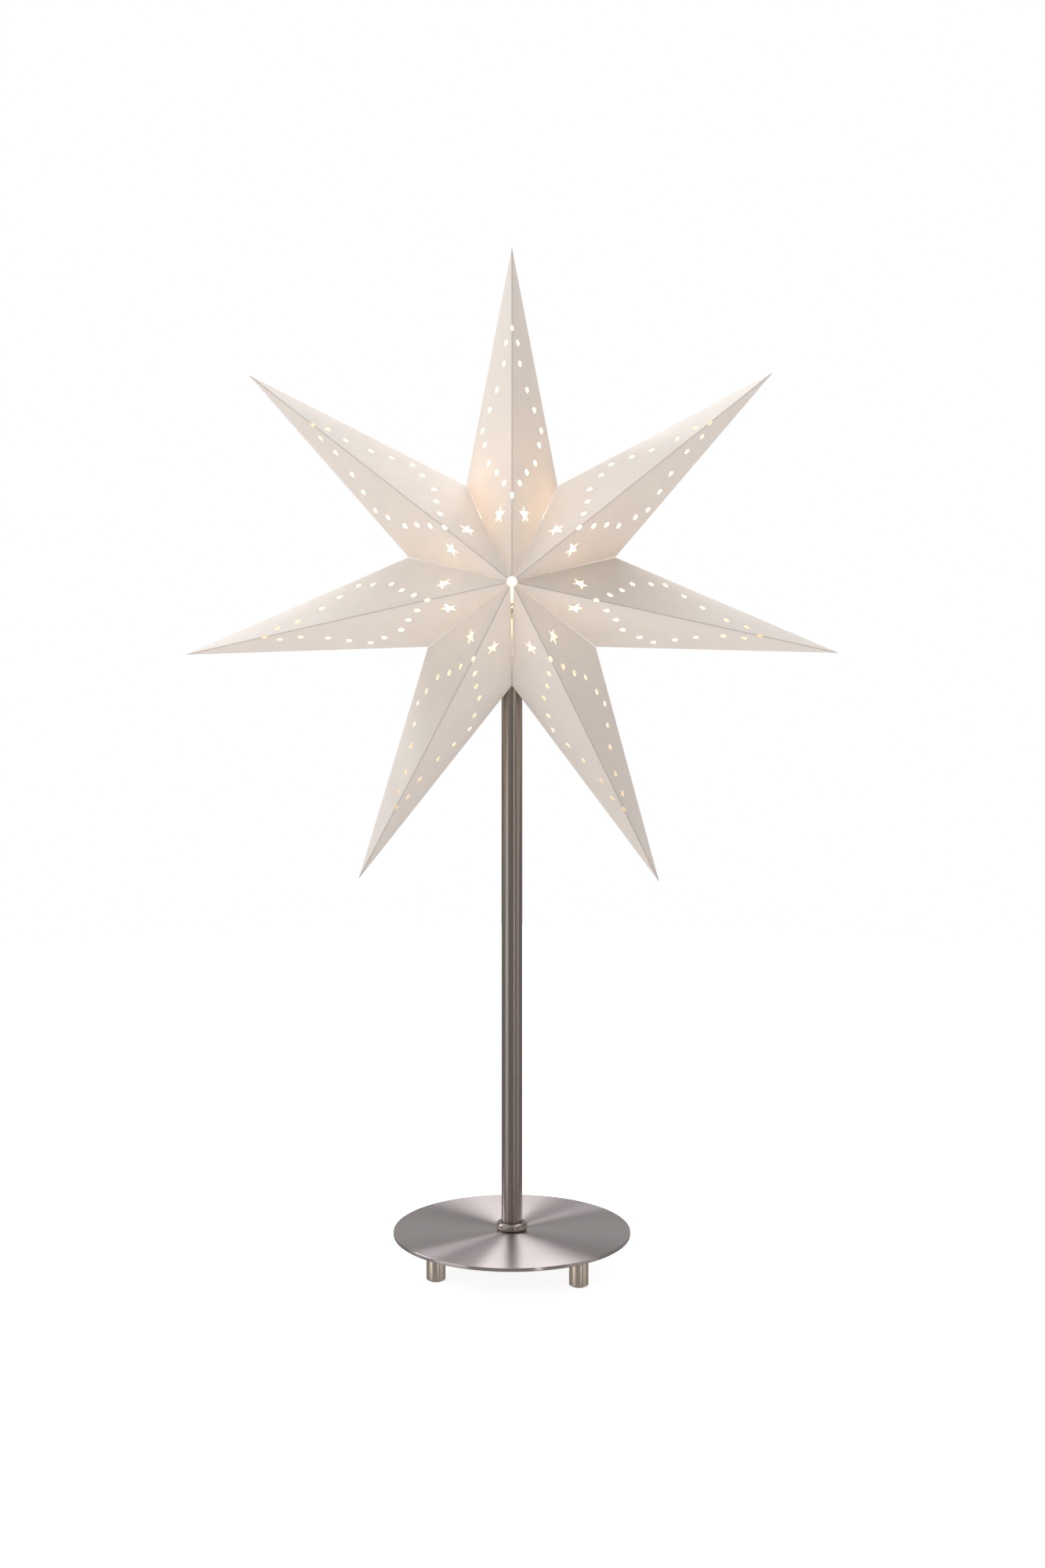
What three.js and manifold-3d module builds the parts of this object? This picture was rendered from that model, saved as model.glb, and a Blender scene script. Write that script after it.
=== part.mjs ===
// A table lamp: a seven-pointed star folded from white paper, on a brushed steel stand with a round
// base plate.
// Millimetres, +Z up. The origin is on the floor, on the axis of the stem. The star faces -Y.

import * as THREE from 'three';
import { ConvexGeometry } from 'three/addons/geometries/ConvexGeometry.js';
import { mergeVertices } from 'three/addons/utils/BufferGeometryUtils.js';
import Module from 'manifold-3d';

// ---------------------------------------------------------------- star
const starHeight = 361.4; // floor to the centre of the star
const starTipRadius = 175; // star centre to the end of each point
const starValleyRadius = 55.5; // star centre to the valley between two points
const starHalfDepth = 55; // mid-plane to the front and back peaks
const pointCount = 7;
const seamOpening = 2; // degrees left between the first and last point, at the bottom
const paperThickness = 0.5;
const pointGap = 0.3; // between neighbouring points
const flapWidth = 6; // inner flaps along which the points are glued
const peakHoleRadius = 2.5; // hole where all seven ridges meet, front and back
const starHoleRadius = 4.35; // punched five-pointed holes
const starHoleInnerRadius = 1.827; // between the points of such a hole
const starHoleInset = 34; // along the point, from the star centre
const starHoleOffset = 6.4; // sideways from the ridge
const seamClipWall = 0.6;
const seamClipLength = 8;
const seamClipMouth = 1.5; // open end of a clip, in from the paper's surface
const seamClipClearance = 1.5; // from the back clip to the casing as the star turns

// ---------------------------------------------------------------- stand
const tubeRadius = 5.5;
const tubeBoreRadius = 3.5;
const tubeThreadRadius = 4.85; // both ends of the tube
const tubePaperClearance = 0.8; // between the tube and the notch in the back seam
const plateRadius = 62.2;
const plateThickness = 2;
const plateEdgeChamfer = 0.3;
const footRadius = 5;
const footEdgeChamfer = 0.4;
const footCircleRadius = 42.8;
const footCount = 3;
const firstFootAngle = -156.7; // degrees from +X
const footLength = 18.4;
const footStudRadius = 2;
const footStudLength = 8;
const padRadius = 3.9;
const padThickness = 1.3;
const padProud = 0.6; // how far a pad stands out of its foot
const collarWall = 2.6; // collar beyond the tube
const collarHeight = 4.4;
const looseFit = 0.3; // gap between pieces that slide or sit into each other
const washerRadius = 9;
const washerThickness = 1.2;
const nutAcrossFlats = 14;
const nutThickness = 4;
const tubeTailLength = 3; // thread that stands out below the nut
const bushFlangeThickness = 1.4;
const bushSpigotLength = 6;
const cordHoleRadius = 2.4;

// ---------------------------------------------------------------- lampholder
const holderRadius = 14;
const holderNeckRadius = 7.5;
const holderNeckHeight = 7;
const holderDomeHeight = 4;
const holderCapHeight = 18; // neck, dome and rim together
const holderWall = 1.6;
const holderPaperClearance = 3.4; // between the casing and the back of the star
const flapClearance = 0.8; // between the casing and the flaps cut back round it
const holderFloorClearance = 0.6; // between the end of the tube and the floor of the casing
const threadStep = 1.1; // from the casing in to the thread for the shade ring
const shellWall = 1.7;
const shellHeight = 28;
const spigotDepth = 3; // shell inside the cap
const flangeOverhang = 2.5; // flange round the shell, which carries the hoop
const flangeThickness = 2;
const skirtHeight = 6; // shell below the top of the flange
const ringOverhang = 4.6; // shade ring beyond the thread
const ringHeight = 7;
const ringChamfer = 1;
const ringGripHeight = 2.5; // full radius ends here, and the ring slopes in
const ringLipWidth = 2.2; // top face of the ring
const ringFootClearance = 0.5; // between the shade ring and the hoop under it
const blockClearance = 0.4; // between the contact block and the shell
const blockFloor = 9;
const blockHeight = 27;
const grubRadius = 1.5;
const grubHeight = 1.7; // above the foot of the casing
const grubFit = 0.2;
const grubProud = 0.6;
const terminalRadius = 1.8;
const terminalSpacing = 11;
const terminalLength = 3.5;
const terminalSlotWidth = 0.6;
const terminalSlotDepth = 0.8;

// ---------------------------------------------------------------- bulb and hoop
const bulbRadius = 14;
const bulbCapRadius = 6.9;
const bulbCapHeight = 17.5;
const bulbCapLip = 0.4; // plain rim of the cap, in from the crests of its thread
const capThreadPitch = 2.82;
const capThreadDepth = 0.5;
const capThreadStart = 1; // above the foot of the cap
const capThreadTurns = 4;
const bulbNeckRadius = 6;
const bulbNeckSpread = 0.9; // the neck is this much wider at its shoulder
const bulbNeckLength = 3; // straight part above the cap
const bulbShoulderHeight = 8; // above the cap
const bulbGlassInset = 6; // glass starts this far up inside the cap
const bulbGlassHeight = 43; // from the top of the cap to the crown
const bulbGlassWall = 0.8;
const tipRadius = 2.2;
const tipHeight = 1.6;
const insulatorHeight = 2.5;
const insulatorLip = 0.8; // insulator beyond the tip
const contactWall = 0.4;
const shellContactFoot = 2; // above the floor of the well
const shellContactHeight = 13;
const tongueHeight = 2.5; // spring tongue under the tip of the bulb
const tongueLength = 9;
const tongueWidth = 4;
const tongueThickness = 0.5;
const mountHeight = 7; // glass mount above the cap
const mountFlareHeight = 5;
const mountRadius = 2.2;
const mountTopRadius = 1.8;
const leadRadius = 0.35;
const leadFootSpread = 1.1; // from the axis, where a lead leaves the mount
const leadKneeSpread = 1.4;
const leadKneeHeight = 4;
const filamentRadius = 0.4;
const filamentArchRadius = 9;
const filamentHalfSpan = 7;
const filamentDrop = 2; // ends of the filament below the centre of the crown
const filamentGap = 0.6; // between a lead and the filament
const wireRadius = 1.2;
const hoopRingClearance = 0.6; // beyond the loose fit round the thread
const hoopRingLift = 0.15; // above the flange
const hoopRimClearance = 0.7; // between a leg and the rim of the shade ring
const hoopShoulderRise = 16; // from the shade ring to where a leg runs straight up
const hoopLegClearance = 1; // between a leg and the side walls of the points
const bulbWireClearance = 2.1;
const bulbFlapClearance = 0.8; // between the bulb and the side walls of the points

const cutMargin = 1; // how far a cutter reaches past what it cuts

// ---------------------------------------------------------------- worked out from the sizes above
const degree = Math.PI / 180;
const pointPitch = ((360 - seamOpening) / pointCount) * degree;
const halfPitch = pointPitch / 2;
const starForward = tubeRadius + tubePaperClearance + 0.2; // star mid-plane in front of the stem axis
const plateBottom = padProud + footLength;
const plateTop = plateBottom + plateThickness;
const tubeFoot = plateBottom - washerThickness - nutThickness - tubeTailLength;
// The casing reaches its full radius as low as the back of the star lets it.
const holderFullLevel =
  starHeight -
  starValleyRadius * (1 - (holderRadius + starForward + holderPaperClearance) / starHalfDepth);
const holderFoot = holderFullLevel - holderNeckHeight;
const capTop = holderFoot + holderCapHeight;
const collarRadius = tubeRadius + looseFit + collarWall;
const shellThreadRadius = holderRadius - threadStep;
const shellBoreRadius = shellThreadRadius - shellWall;
const flangeRadius = holderRadius + flangeOverhang;
const ringRadius = shellThreadRadius + ringOverhang;
const blockRadius = shellBoreRadius - blockClearance;
const flangeTop = capTop + skirtHeight;
const shellTop = capTop + shellHeight;
const hoopRingRadius = shellThreadRadius + looseFit + hoopRingClearance + wireRadius;
const hoopRingLevel = flangeTop + wireRadius + hoopRingLift;
const ringFoot = hoopRingLevel + wireRadius + ringFootClearance;
const blockFoot = capTop - spigotDepth;
const contactLevel = blockFoot + blockFloor;
const bulbCapFoot = contactLevel + tongueHeight + looseFit + insulatorHeight + tipHeight;
const bulbCapTop = bulbCapFoot + bulbCapHeight;
const hoopHalfWidth = bulbRadius + bulbWireClearance + wireRadius;
const crownLevel = bulbCapTop + bulbGlassHeight - bulbRadius;

// ---------------------------------------------------------------- finishes
const finish = (color, roughness, metalness, extra = {}) => () =>
  new THREE.MeshStandardMaterial({ color, roughness, metalness, ...extra });
const whitePaper = finish(0xefe8e0, 0.85, 0);
const brushedSteel = finish(0x9a918c, 0.35, 1);
const plainSteel = finish(0x8c8c8c, 0.4, 1);
const blackPlastic = finish(0x1b1a19, 0.5, 0);
const whitePlastic = finish(0xece8e0, 0.4, 0);
const darkRubber = finish(0x2a2928, 0.9, 0);
const ceramic = finish(0xe9e4da, 0.5, 0);
const brass = finish(0xb8954a, 0.35, 1);
const clearGlass = finish(0xfff2dc, 0.1, 0, { transparent: true, opacity: 0.4 });
const blackGlass = finish(0x141414, 0.2, 0);
const tungsten = finish(0x6f6a66, 0.4, 1);

// ---------------------------------------------------------------- solids
const wasm = await Module();
wasm.setup();

function toSolid(geometry) {
  const bare = geometry.index ? geometry.toNonIndexed() : geometry.clone();
  bare.deleteAttribute('normal');
  bare.deleteAttribute('uv');
  const merged = mergeVertices(bare, 1e-4);
  return new wasm.Manifold(
    new wasm.Mesh({
      numProp: 3,
      vertProperties: new Float32Array(merged.attributes.position.array),
      triVerts: new Uint32Array(merged.index.array),
    }),
  );
}

function toGeometry(solid) {
  const mesh = solid.getMesh();
  const geometry = new THREE.BufferGeometry();
  geometry.setAttribute('position', new THREE.BufferAttribute(new Float32Array(mesh.vertProperties), 3));
  geometry.setIndex(new THREE.BufferAttribute(new Uint32Array(mesh.triVerts), 1));
  return geometry;
}

function addPiece(group, name, geometry, makeFinish) {
  const piece = new THREE.Mesh(geometry, makeFinish());
  piece.name = name;
  group.add(piece);
  return piece;
}

// A profile of [radius, height] points, turned about the Z axis.
function turned(profile, segments = 32) {
  const points = profile.map(([radius, height]) => new THREE.Vector2(radius, height));
  return new THREE.LatheGeometry(points, segments).rotateX(Math.PI / 2);
}

// A ring or sleeve between two radii and two levels.
function sleeve(inner, outer, bottom, top, segments = 32) {
  return turned([[inner, bottom], [outer, bottom], [outer, top], [inner, top], [inner, bottom]], segments);
}

function rod(radius, bottom, top, segments = 20) {
  return turned([[0, bottom], [radius, bottom], [radius, top], [0, top]], segments);
}

// An outline in XY, extruded along Z between two levels.
function prism(outline, bottom, top) {
  const shape = new THREE.Shape(outline.map(([x, y]) => new THREE.Vector2(x, y)));
  const geometry = new THREE.ExtrudeGeometry(shape, { depth: top - bottom, bevelEnabled: false });
  return geometry.translate(0, 0, bottom);
}

// A round wire along a smooth curve through the given points.
function wire(points, radius, sides, steps) {
  const section = new THREE.Shape();
  section.absarc(0, 0, radius, 0, 2 * Math.PI);
  const path = new THREE.CatmullRomCurve3(points, false, 'centripetal');
  return new THREE.ExtrudeGeometry(section, {
    steps,
    curveSegments: sides,
    extrudePath: path,
    bevelEnabled: false,
  });
}

function arcPoints(centre, radius, from, to, count) {
  return Array.from({ length: count + 1 }, (_, i) => {
    const angle = from + ((to - from) * i) / count;
    return [centre[0] + radius * Math.cos(angle), centre[1] + radius * Math.sin(angle)];
  });
}

// Outside of the lampholder's cap from its neck to its rim, grown by a clearance.
function holderOutline(grown) {
  const steps = 4;
  const dome = Array.from({ length: steps + 1 }, (_, i) => {
    const angle = (-Math.PI / 2) * (1 - i / steps);
    return [
      holderNeckRadius + (holderRadius - holderNeckRadius + grown) * Math.cos(angle),
      holderFullLevel + (holderDomeHeight + grown) * Math.sin(angle),
    ];
  });
  const neck = [
    [holderNeckRadius + grown, holderFoot - grown],
    [holderNeckRadius + grown, holderFullLevel - holderDomeHeight - grown],
  ];
  return [...neck, ...dome.slice(1), [holderRadius + grown, capTop]];
}

// ---------------------------------------------------------------- one paper point
// A point lies along +X with its mid-plane in XY and its front ridge up +Z. Outside it is a four-sided
// roof that runs to the tip, cut off by the two planes it shares with its neighbours.
const roofBaseX = -20;

function roof(shift) {
  const tip = new THREE.Vector3(starTipRadius - shift, 0, 0);
  const sideAtCentre =
    (starValleyRadius * Math.sin(halfPitch) * starTipRadius) /
    (starTipRadius - starValleyRadius * Math.cos(halfPitch));
  const spread = (starTipRadius - roofBaseX) / starTipRadius;
  const corners = [
    [0, starHalfDepth],
    [0, -starHalfDepth],
    [sideAtCentre, 0],
    [-sideAtCentre, 0],
  ].map(([y, z]) => new THREE.Vector3(roofBaseX - shift, y * spread, z * spread));
  return toSolid(new ConvexGeometry([tip, ...corners]));
}

function wedge(clearance) {
  const start = clearance / Math.sin(halfPitch);
  const reach = starTipRadius + cutMargin;
  const rise = (reach - start) * Math.tan(halfPitch);
  const deep = 2 * starHalfDepth;
  return toSolid(prism([[start, 0], [reach, -rise], [reach, rise]], -deep, deep));
}

// Plane of the front facet on the +Y side, through the tip, the peak and the valley.
function facetPlane() {
  const tip = new THREE.Vector3(starTipRadius, 0, 0);
  const peak = new THREE.Vector3(0, 0, starHalfDepth);
  const valley = new THREE.Vector3(
    starValleyRadius * Math.cos(halfPitch),
    starValleyRadius * Math.sin(halfPitch),
    0,
  );
  return new THREE.Plane().setFromCoplanarPoints(tip, valley, peak);
}

// Frame on a facet at the given distance along the point and sideways: X away from the centre, Z out of
// the paper.
function facetFrame(along, side, plane) {
  const depth = -(plane.constant + plane.normal.x * along + plane.normal.y * side) / plane.normal.z;
  const outward = plane.normal.clone().multiplyScalar(Math.sign(plane.normal.z));
  const away = new THREE.Vector3(1, 0, 0).projectOnPlane(outward).normalize();
  const across = new THREE.Vector3().crossVectors(outward, away);
  return new THREE.Matrix4().makeBasis(away, across, outward).setPosition(along, side, depth);
}

function starHoles() {
  const outline = Array.from({ length: 10 }, (_, i) => {
    const radius = i % 2 ? starHoleInnerRadius : starHoleRadius;
    const angle = Math.PI + (i * Math.PI) / 5;
    return [radius * Math.cos(angle), radius * Math.sin(angle)];
  });
  const reach = 2 * paperThickness + cutMargin;
  const frame = facetFrame(starHoleInset, starHoleOffset, facetPlane());
  const hole = prism(outline, -reach, reach).applyMatrix4(frame);
  const cutters = [];
  for (const mirrorSide of [1, -1]) {
    for (const mirrorFace of [1, -1]) {
      cutters.push(toSolid(hole).scale([1, mirrorSide, mirrorFace]));
    }
  }
  return cutters;
}

// The window in both side walls leaves a flap along the front seam and one along the back seam.
function window() {
  const valleyX = starValleyRadius * Math.cos(halfPitch);
  const seam = Math.hypot(starValleyRadius, starHalfDepth);
  const cutDepth = (flapWidth * seam) / starValleyRadius;
  const cutLength = ((flapWidth * seam) / starHalfDepth) * Math.cos(halfPitch);
  const back = -cutMargin;
  const backDepth = (starHalfDepth - cutDepth) * (1 - back / (valleyX - cutLength));
  const outline = [[back, -backDepth], [valleyX - cutLength, 0], [back, backDepth]];
  const width = starValleyRadius;
  return toSolid(prism(outline, -width, width).rotateX(Math.PI / 2));
}

// Room that the side walls of the points leave for the bulb and for the legs of the hoop.
function bulbRoom(angle) {
  const radius = bulbRadius + bulbFlapClearance;
  const level = crownLevel - starHeight;
  const crown = arcPoints([0, level], radius, 0, Math.PI / 2, 5);
  const bulb = turned([[0, 0], [radius, 0], ...crown.slice(0, -1), [0, level + radius]], 24)
    .rotateX(-Math.PI / 2)
    .translate(0, 0, -starForward);
  const reach = hoopHalfWidth + wireRadius + bulbFlapClearance;
  const rise = reach / Math.tan(halfPitch);
  const deep = 2 * (wireRadius + hoopLegClearance);
  const legs = new THREE.BoxGeometry(2 * reach, rise, deep).translate(0, rise / 2, 0);
  return toSolid(bulb.rotateZ(-angle)).add(toSolid(legs.rotateZ(-angle)));
}

// The inside of the roof is the outside moved in from the tip by this much.
function innerShift() {
  return Math.abs(paperThickness / facetPlane().normal.x);
}

function starPoint(angle) {
  const outer = roof(0).intersect(wedge(pointGap / 2));
  const inner = roof(innerShift()).intersect(wedge(pointGap / 2 + paperThickness));
  let point = outer.subtract(inner).subtract(window());
  for (const hole of starHoles()) {
    point = point.subtract(hole);
  }
  const peakHole = toSolid(rod(peakHoleRadius, -2 * starHalfDepth, 2 * starHalfDepth, 24));
  point = point.subtract(peakHole);
  // The stem runs up behind the front of the lowest seam and through its back, where the flaps are cut
  // away round the casing of the lampholder.
  const notch = toSolid(
    turned(
      [
        [0, -starTipRadius],
        [tubeRadius + tubePaperClearance, -starTipRadius],
        [tubeRadius + tubePaperClearance, holderFoot - flapClearance - cutMargin - starHeight],
        ...holderOutline(flapClearance).map(([radius, level]) => [radius, level - starHeight]),
        [0, capTop - starHeight],
      ],
      24,
    )
      .rotateX(-Math.PI / 2)
      .translate(0, 0, -starForward)
      .rotateZ(-angle),
  );
  return toGeometry(point.subtract(notch).subtract(bulbRoom(angle)));
}

function addStar(lamp) {
  const star = new THREE.Group();
  star.position.set(0, -starForward, starHeight);
  star.rotation.x = Math.PI / 2;
  for (let i = 0; i < pointCount; i += 1) {
    const angle = (-90 + seamOpening / 2) * degree + halfPitch + i * pointPitch;
    const point = addPiece(star, `star_point_${i + 1}`, starPoint(angle), whitePaper);
    point.rotation.z = angle;
  }
  addSeamClips(star);
  lamp.add(star);
}

// Spring clips over the two flaps of the bottom seam: one behind the front seam, one inside the back seam.
function addSeamClips(star) {
  const closed = flapWidth + looseFit;
  const slope = Math.atan2(starHalfDepth, starValleyRadius);
  // The back clip passes the casing of the lampholder as the star turns about the stem.
  const clearOfAxis =
    holderRadius + starForward + seamClipClearance + (closed + seamClipWall) / Math.cos(slope);
  const level =
    starValleyRadius * (1 - clearOfAxis / starHalfDepth) - (seamClipLength / 2) * Math.cos(slope);
  const opening = 2 * level * Math.sin((seamOpening / 2) * degree);
  const inside = paperThickness + pointGap / 2 + opening / 2 + looseFit;
  const outside = inside + seamClipWall;
  const outline = [
    [-outside, seamClipMouth],
    [-inside, seamClipMouth],
    [-inside, closed],
    [inside, closed],
    [inside, seamClipMouth],
    [outside, seamClipMouth],
    [outside, closed + seamClipWall],
    [-outside, closed + seamClipWall],
  ];
  for (const [number, face] of [[1, 1], [2, -1]]) {
    // In the clip's own frame X is across the seam, Y into the star and Z along the seam.
    const clip = prism(outline, -seamClipLength / 2, seamClipLength / 2);
    const along = new THREE.Vector3(0, -Math.cos(slope), -face * Math.sin(slope));
    const into = new THREE.Vector3(0, Math.sin(slope), -face * Math.cos(slope));
    const across = new THREE.Vector3().crossVectors(into, along);
    const place = new THREE.Matrix4()
      .makeBasis(across, into, along)
      .setPosition(0, -level, face * starHalfDepth * (1 - level / starValleyRadius));
    addPiece(star, `seam_clip_${number}`, clip.applyMatrix4(place), plainSteel);
  }
}

// ---------------------------------------------------------------- stand
function addBase(lamp) {
  const chamfered = turned(
    [
      [tubeThreadRadius + looseFit, plateBottom],
      [plateRadius - plateEdgeChamfer, plateBottom],
      [plateRadius, plateBottom + plateEdgeChamfer],
      [plateRadius, plateTop - plateEdgeChamfer],
      [plateRadius - plateEdgeChamfer, plateTop],
      [tubeThreadRadius + looseFit, plateTop],
      [tubeThreadRadius + looseFit, plateBottom],
    ],
    64,
  );
  let plate = toSolid(chamfered);
  for (let i = 0; i < footCount; i += 1) {
    const angle = (firstFootAngle + (i * 360) / footCount) * degree;
    const x = footCircleRadius * Math.cos(angle);
    const y = footCircleRadius * Math.sin(angle);
    const stud = rod(footStudRadius, plateBottom - footStudLength, plateBottom + plateThickness / 2, 12);
    plate = plate.add(toSolid(stud.translate(x, y, 0)));
    addFoot(lamp, i + 1, x, y);
  }
  addPiece(lamp, 'base_plate', toGeometry(plate), brushedSteel);
}

function addFoot(lamp, number, x, y) {
  const bottom = padProud;
  const recess = padThickness + looseFit;
  const body = toSolid(
    turned(
      [
        [0, bottom],
        [footRadius - footEdgeChamfer, bottom],
        [footRadius, bottom + footEdgeChamfer],
        [footRadius, plateBottom],
        [0, plateBottom],
      ],
      20,
    ),
  )
    .subtract(toSolid(rod(padRadius + looseFit, bottom - cutMargin, recess, 20)))
    .subtract(
      toSolid(rod(footStudRadius + looseFit, plateBottom - footStudLength - looseFit, plateTop, 12)),
    );
  addPiece(lamp, `foot_${number}`, toGeometry(body).translate(x, y, 0), brushedSteel);
  const pad = rod(padRadius, 0, padThickness, 20).translate(x, y, 0);
  addPiece(lamp, `foot_pad_${number}`, pad, darkRubber);
}

function addStem(lamp) {
  addPiece(
    lamp,
    'stem_tube',
    turned(
      [
        [tubeBoreRadius, tubeFoot],
        [tubeThreadRadius, tubeFoot],
        [tubeThreadRadius, plateTop],
        [tubeRadius, plateTop],
        [tubeRadius, holderFoot],
        [tubeThreadRadius, holderFoot],
        [tubeThreadRadius, holderFoot + holderNeckHeight],
        [tubeBoreRadius, holderFoot + holderNeckHeight],
        [tubeBoreRadius, tubeFoot],
      ],
      28,
    ),
    brushedSteel,
  );
  const inner = tubeRadius + looseFit;
  const bulgeCentre = [collarRadius - collarHeight / 2, plateTop + collarHeight / 2];
  const bulge = arcPoints(bulgeCentre, collarHeight / 2, -Math.PI / 2, Math.PI / 2, 6);
  addPiece(
    lamp,
    'stem_collar',
    turned([[inner, plateTop], ...bulge, [inner, plateTop + collarHeight], [inner, plateTop]], 28),
    brushedSteel,
  );
  const threadHole = tubeThreadRadius + looseFit;
  const washerFoot = plateBottom - washerThickness;
  addPiece(lamp, 'lock_washer', sleeve(threadHole, washerRadius, washerFoot, plateBottom), plainSteel);
  const corners = arcPoints([0, 0], nutAcrossFlats / Math.sqrt(3), 0, (5 * Math.PI) / 3, 5);
  const nut = toSolid(prism(corners, washerFoot - nutThickness, washerFoot)).subtract(
    toSolid(rod(threadHole, tubeFoot, plateBottom, 24)),
  );
  addPiece(lamp, 'stem_nut', toGeometry(nut), plainSteel);
  const spigot = tubeBoreRadius - looseFit;
  addPiece(
    lamp,
    'cord_bush',
    turned(
      [
        [cordHoleRadius, tubeFoot - bushFlangeThickness],
        [tubeThreadRadius, tubeFoot - bushFlangeThickness],
        [tubeThreadRadius, tubeFoot],
        [spigot, tubeFoot],
        [spigot, tubeFoot + bushSpigotLength],
        [cordHoleRadius, tubeFoot + bushSpigotLength],
        [cordHoleRadius, tubeFoot - bushFlangeThickness],
      ],
      24,
    ),
    blackPlastic,
  );
}

// ---------------------------------------------------------------- lampholder
function addHolder(lamp) {
  const threadHole = tubeThreadRadius + looseFit;
  const floor = holderFoot + holderNeckHeight + holderFloorClearance;
  const cap = turned(
    [
      [threadHole, holderFoot],
      ...holderOutline(0),
      [holderRadius - holderWall, capTop],
      [holderRadius - holderWall, floor],
      [threadHole, floor],
      [threadHole, holderFoot],
    ],
    28,
  );
  const grubRod = (radius, from, to) =>
    rod(radius, from, to, 12)
      .rotateY(Math.PI / 2)
      .translate(0, 0, holderFoot + grubHeight);
  const grubHole = grubRod(grubRadius + grubFit, 0, holderRadius);
  addPiece(lamp, 'holder_cap', toGeometry(toSolid(cap).subtract(toSolid(grubHole))), whitePlastic);
  const grub = grubRod(grubRadius, threadHole, holderNeckRadius + grubProud);
  addPiece(lamp, 'holder_grub_screw', grub, plainSteel);

  const spigot = holderRadius - holderWall - looseFit;
  addPiece(
    lamp,
    'holder_shell',
    turned(
      [
        [shellBoreRadius, blockFoot],
        [spigot, blockFoot],
        [spigot, capTop],
        [holderRadius, capTop],
        [holderRadius, flangeTop - flangeThickness],
        [flangeRadius, flangeTop - flangeThickness],
        [flangeRadius, flangeTop],
        [shellThreadRadius, flangeTop],
        [shellThreadRadius, shellTop],
        [shellBoreRadius, shellTop],
        [shellBoreRadius, blockFoot],
      ],
      28,
    ),
    whitePlastic,
  );
  const ringBore = shellThreadRadius + looseFit;
  addPiece(
    lamp,
    'shade_ring',
    turned(
      [
        [ringBore, ringFoot],
        [ringRadius - ringChamfer, ringFoot],
        [ringRadius, ringFoot + ringChamfer],
        [ringRadius, ringFoot + ringGripHeight],
        [ringBore + ringLipWidth, ringFoot + ringHeight],
        [ringBore, ringFoot + ringHeight],
        [ringBore, ringFoot],
      ],
      28,
    ),
    whitePlastic,
  );
}

function addContacts(lamp) {
  const shellContactInner = bulbCapRadius + looseFit;
  const shellContactOuter = shellContactInner + contactWall;
  const wellRadius = shellContactOuter + looseFit;
  addPiece(
    lamp,
    'contact_block',
    turned(
      [
        [0, blockFoot],
        [blockRadius, blockFoot],
        [blockRadius, blockFoot + blockHeight],
        [wellRadius, blockFoot + blockHeight],
        [wellRadius, contactLevel],
        [0, contactLevel],
      ],
      32,
    ),
    ceramic,
  );
  const shellContactLevel = contactLevel + shellContactFoot;
  addPiece(
    lamp,
    'shell_contact',
    sleeve(
      shellContactInner,
      shellContactOuter,
      shellContactLevel,
      shellContactLevel + shellContactHeight,
    ),
    brass,
  );
  // A tongue folded back over itself, which the tip of the bulb presses on.
  const end = tongueLength / 2;
  const tongue = [
    [-end, 0],
    [end, 0],
    [end, tongueThickness],
    [-end + 3 * tongueThickness, tongueThickness],
    [tipRadius + 0.8 * tongueThickness, tongueHeight - tongueThickness],
    [tipRadius + 0.4 * tongueThickness, tongueHeight],
    [-end, 1.2 * tongueThickness],
  ];
  const tongueGeometry = prism(tongue, -tongueWidth / 2, tongueWidth / 2)
    .rotateX(Math.PI / 2)
    .translate(0, 0, contactLevel);
  addPiece(lamp, 'centre_contact', tongueGeometry, brass);
  for (const [number, side] of [[1, -1], [2, 1]]) {
    const head = toSolid(rod(terminalRadius, blockFoot - terminalLength, blockFoot, 16));
    const slot = new THREE.BoxGeometry(
      terminalSlotWidth,
      2 * (terminalRadius + cutMargin),
      2 * terminalSlotDepth,
    ).translate(0, 0, blockFoot - terminalLength);
    const screw = toGeometry(head.subtract(toSolid(slot)));
    addPiece(lamp, `terminal_screw_${number}`, screw.translate((side * terminalSpacing) / 2, 0, 0), brass);
  }
}

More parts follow.
